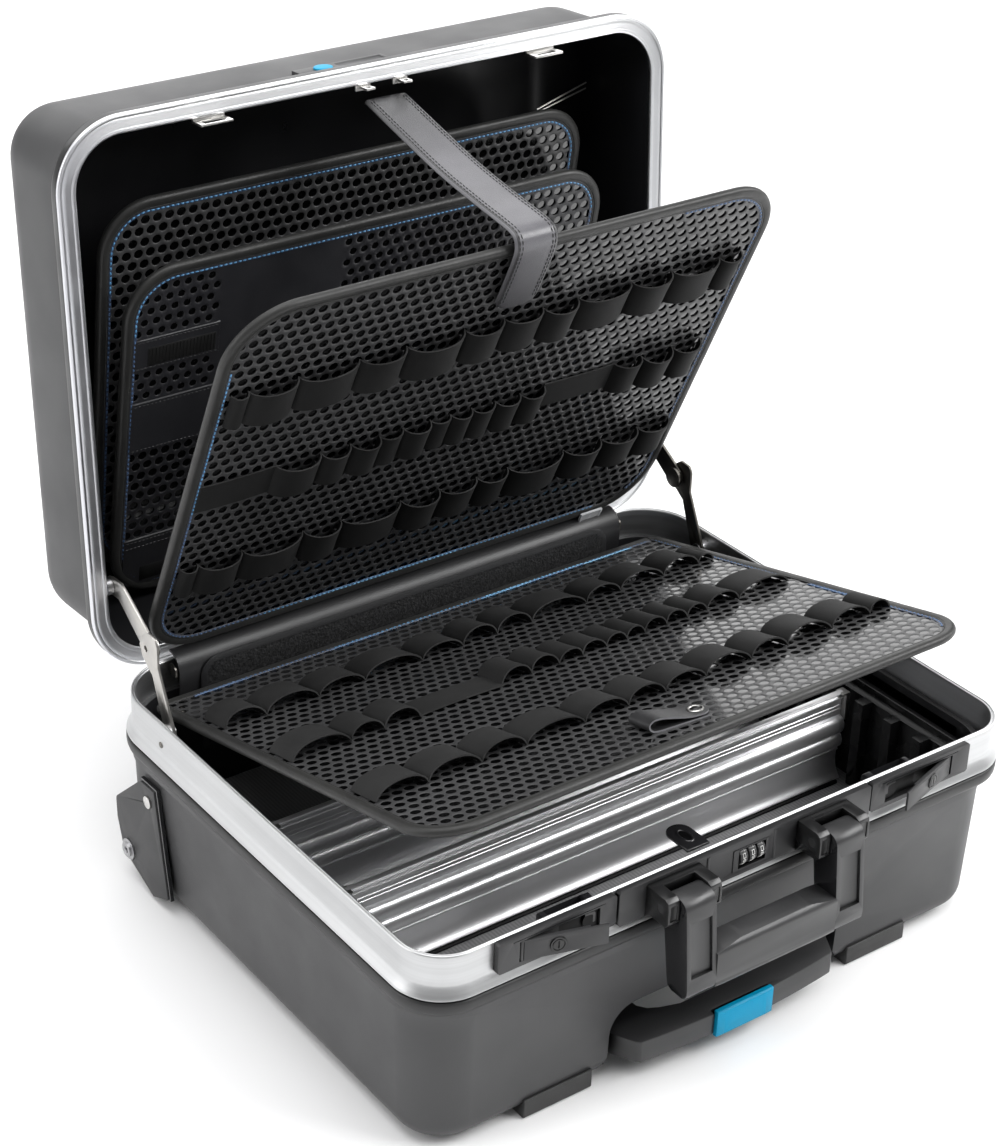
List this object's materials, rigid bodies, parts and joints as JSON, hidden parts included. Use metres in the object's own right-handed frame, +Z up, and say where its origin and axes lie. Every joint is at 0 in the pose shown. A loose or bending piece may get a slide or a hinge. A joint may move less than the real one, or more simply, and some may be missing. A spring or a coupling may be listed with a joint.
{
  "type": "rolling tool case",
  "caption": "Hard rolling tool case with a hinged lid held by stays, swinging tool boards with elastic loops, a folding carry handle and a telescopic pull handle.",
  "frame": {"origin": "middle of the whole object's footprint, on the floor, lid open", "axes": "+Z up, +X to the case's right seen from its handles, -Y towards the handles; the open lid stands at +Y"},
  "size_m": [0.5006, 0.5642, 0.5476],
  "materials": {
    "case_plastic": "textured dark grey ABS",
    "black_plastic": "moulded black plastic",
    "cover_plastic": "moulded dark grey plastic",
    "gloss_black": "smooth black",
    "blue_plastic": "bright blue plastic",
    "frame_aluminium": "brushed extrusion",
    "bright_steel": "plated steel",
    "dark_steel": "dark zinc plated steel",
    "floor_mat": "fine ribbed grey mat",
    "tyre_rubber": "black wheel rubber",
    "foot_rubber": "black moulded foot",
    "board_fabric": "black honeycomb board",
    "elastic": "black elastic webbing",
    "strap_leather": "black stitched strap"
  },
  "bodies": {
    "base": {"base_shell": "case_plastic", "base_frame": "frame_aluminium", "base_floor": "floor_mat", "divider_front": "frame_aluminium", "divider_rear": "frame_aluminium", "divider_rails": "black_plastic", "divider_clips": "bright_steel", "lock_plates": "black_plastic", "lock_plate_middle": "black_plastic", "lock_hooks": "black_plastic", "combination_housing": "black_plastic", "lock_housings": "black_plastic", "lock_tongue": "gloss_black", "handle_brackets": "black_plastic", "handle_pins": "bright_steel", "feet_front": "foot_rubber", "feet_rear": "foot_rubber", "wheel_covers": "cover_plastic", "cover_gaskets": "gloss_black", "cover_fasteners": "bright_steel", "wheel_axles": "dark_steel", "trolley_outer_tubes": "frame_aluminium", "trolley_brackets": "black_plastic", "hinge_base_leaf": "frame_aluminium", "hinge_pin": "bright_steel", "hinge_cover_strip": "gloss_black", "document_pocket": "black_plastic", "stay_base_pins": "bright_steel"},
    "lid": {"lid_shell": "case_plastic", "lid_frame": "frame_aluminium", "hinge_lid_leaf": "frame_aluminium", "lid_strikes": "bright_steel", "combination_strikes": "bright_steel", "name_plate": "black_plastic", "name_plate_tab": "blue_plastic", "stay_lid_pins": "bright_steel", "strap": "strap_leather"},
    "front_board": {"front_board": "board_fabric", "front_board_loops": "elastic"},
    "mid_board": {"mid_board": "board_fabric"},
    "rear_board": {"rear_board": "board_fabric"},
    "base_board": {"base_board": "board_fabric", "base_board_loops": "elastic"},
    "carry_handle": {"carry_handle": "black_plastic"},
    "lever_left": {"lock_lever_left": "black_plastic", "key_cylinder_left": "dark_steel"},
    "lever_right": {"lock_lever_right": "black_plastic", "key_cylinder_right": "dark_steel"},
    "dial_1": {"dial_1": "black_plastic"},
    "dial_2": {"dial_2": "black_plastic"},
    "dial_3": {"dial_3": "black_plastic"},
    "wheel_left": {"wheel_left": "tyre_rubber"},
    "wheel_right": {"wheel_right": "tyre_rubber"},
    "trolley_middle": {"trolley_middle_tubes": "frame_aluminium"},
    "trolley_grip": {"trolley_inner_tubes": "frame_aluminium", "trolley_grip": "black_plastic"},
    "trolley_button": {"trolley_button": "blue_plastic"},
    "stay_lower": {"stay_lower_arms": "bright_steel"},
    "stay_upper": {"stay_upper_arms": "bright_steel"}
  },
  "joints": [
    {"name": "lid_hinge", "type": "hinge", "parent": "base", "child": "lid", "pos_m": [0, 0.14556, 0.15386], "axis": [1, 0, 0], "range_deg": [0, 93.5], "deforming": ["hinge_cover_strip", "base_board_loops", "document_pocket", "lock_tongue"]},
    {"name": "front_board_hinge", "type": "hinge", "parent": "lid", "child": "front_board", "pos_m": [0, 0.13708, 0.16891], "axis": [1, 0, 0], "range_deg": [-32, 0], "deforming": ["strap", "front_board_loops"]},
    {"name": "mid_board_hinge", "type": "hinge", "parent": "lid", "child": "mid_board", "pos_m": [0, 0.21995, 0.16925], "axis": [1, 0, 0], "range_deg": [-12, 0]},
    {"name": "rear_board_hinge", "type": "hinge", "parent": "lid", "child": "rear_board", "pos_m": [0, 0.24385, 0.17819], "axis": [1, 0, 0], "range_deg": [-9, 0]},
    {"name": "base_board_hinge", "type": "hinge", "parent": "base", "child": "base_board", "pos_m": [0, 0.11462, 0.1378], "axis": [1, 0, 0], "range_deg": [0, 15.5]},
    {"name": "stay_lower_pivot", "type": "hinge", "parent": "base", "child": "stay_lower", "pos_m": [0, 0.07552, 0.144], "axis": [1, 0, 0], "range_deg": [0, 95.2]},
    {"name": "stay_upper_pivot", "type": "hinge", "parent": "lid", "child": "stay_upper", "pos_m": [0, 0.15652, 0.2185], "axis": [1, 0, 0], "range_deg": [-125.2, 0]},
    {"name": "carry_handle_hinge", "type": "hinge", "parent": "base", "child": "carry_handle", "pos_m": [0, -0.26248, 0.144], "axis": [-1, 0, 0], "range_deg": [0, 95]},
    {"name": "lock_lever_left_hinge", "type": "hinge", "parent": "base", "child": "lever_left", "pos_m": [-0.1786, -0.24698, 0.1442], "axis": [0, 0, -1], "range_deg": [-16, 50]},
    {"name": "lock_lever_right_hinge", "type": "hinge", "parent": "base", "child": "lever_right", "pos_m": [0.1786, -0.24698, 0.1442], "axis": [0, 0, 1], "range_deg": [-16, 50]},
    {"name": "dial_1_spin", "type": "hinge", "parent": "base", "child": "dial_1", "pos_m": [-0.0045, -0.24338, 0.1425], "axis": [1, 0, 0], "continuous": true},
    {"name": "dial_2_spin", "type": "hinge", "parent": "base", "child": "dial_2", "pos_m": [0.0029, -0.24338, 0.1425], "axis": [1, 0, 0], "continuous": true},
    {"name": "dial_3_spin", "type": "hinge", "parent": "base", "child": "dial_3", "pos_m": [0.0103, -0.24338, 0.1425], "axis": [1, 0, 0], "continuous": true},
    {"name": "wheel_left_spin", "type": "hinge", "parent": "base", "child": "wheel_left", "pos_m": [-0.223, 0.12052, 0.025], "axis": [1, 0, 0], "continuous": true},
    {"name": "wheel_right_spin", "type": "hinge", "parent": "base", "child": "wheel_right", "pos_m": [0.223, 0.12052, 0.025], "axis": [1, 0, 0], "continuous": true},
    {"name": "trolley_middle_slide", "type": "slide", "parent": "base", "child": "trolley_middle", "axis": [0, -1, 0], "range_m": [0, 0.2]},
    {"name": "trolley_grip_slide", "type": "slide", "parent": "trolley_middle", "child": "trolley_grip", "axis": [0, -1, 0], "range_m": [0, 0.2]},
    {"name": "trolley_button_press", "type": "slide", "parent": "trolley_grip", "child": "trolley_button", "axis": [0, 1, 0], "range_m": [0, 0.003], "stiffness_N_per_m": 300, "springref_m": -0.001}
  ],
  "couplings": [
    {"joint": "front_board_hinge", "follows": "lid_hinge", "ratio": -0.337},
    {"joint": "mid_board_hinge", "follows": "lid_hinge", "ratio": -0.123},
    {"joint": "rear_board_hinge", "follows": "lid_hinge", "ratio": -0.089},
    {"joint": "base_board_hinge", "follows": "lid_hinge", "ratio": 0.1615},
    {"joint": "stay_lower_pivot", "follows": "lid_hinge", "ratio": 1.0155},
    {"joint": "stay_upper_pivot", "follows": "lid_hinge", "ratio": -1.336}
  ]
}
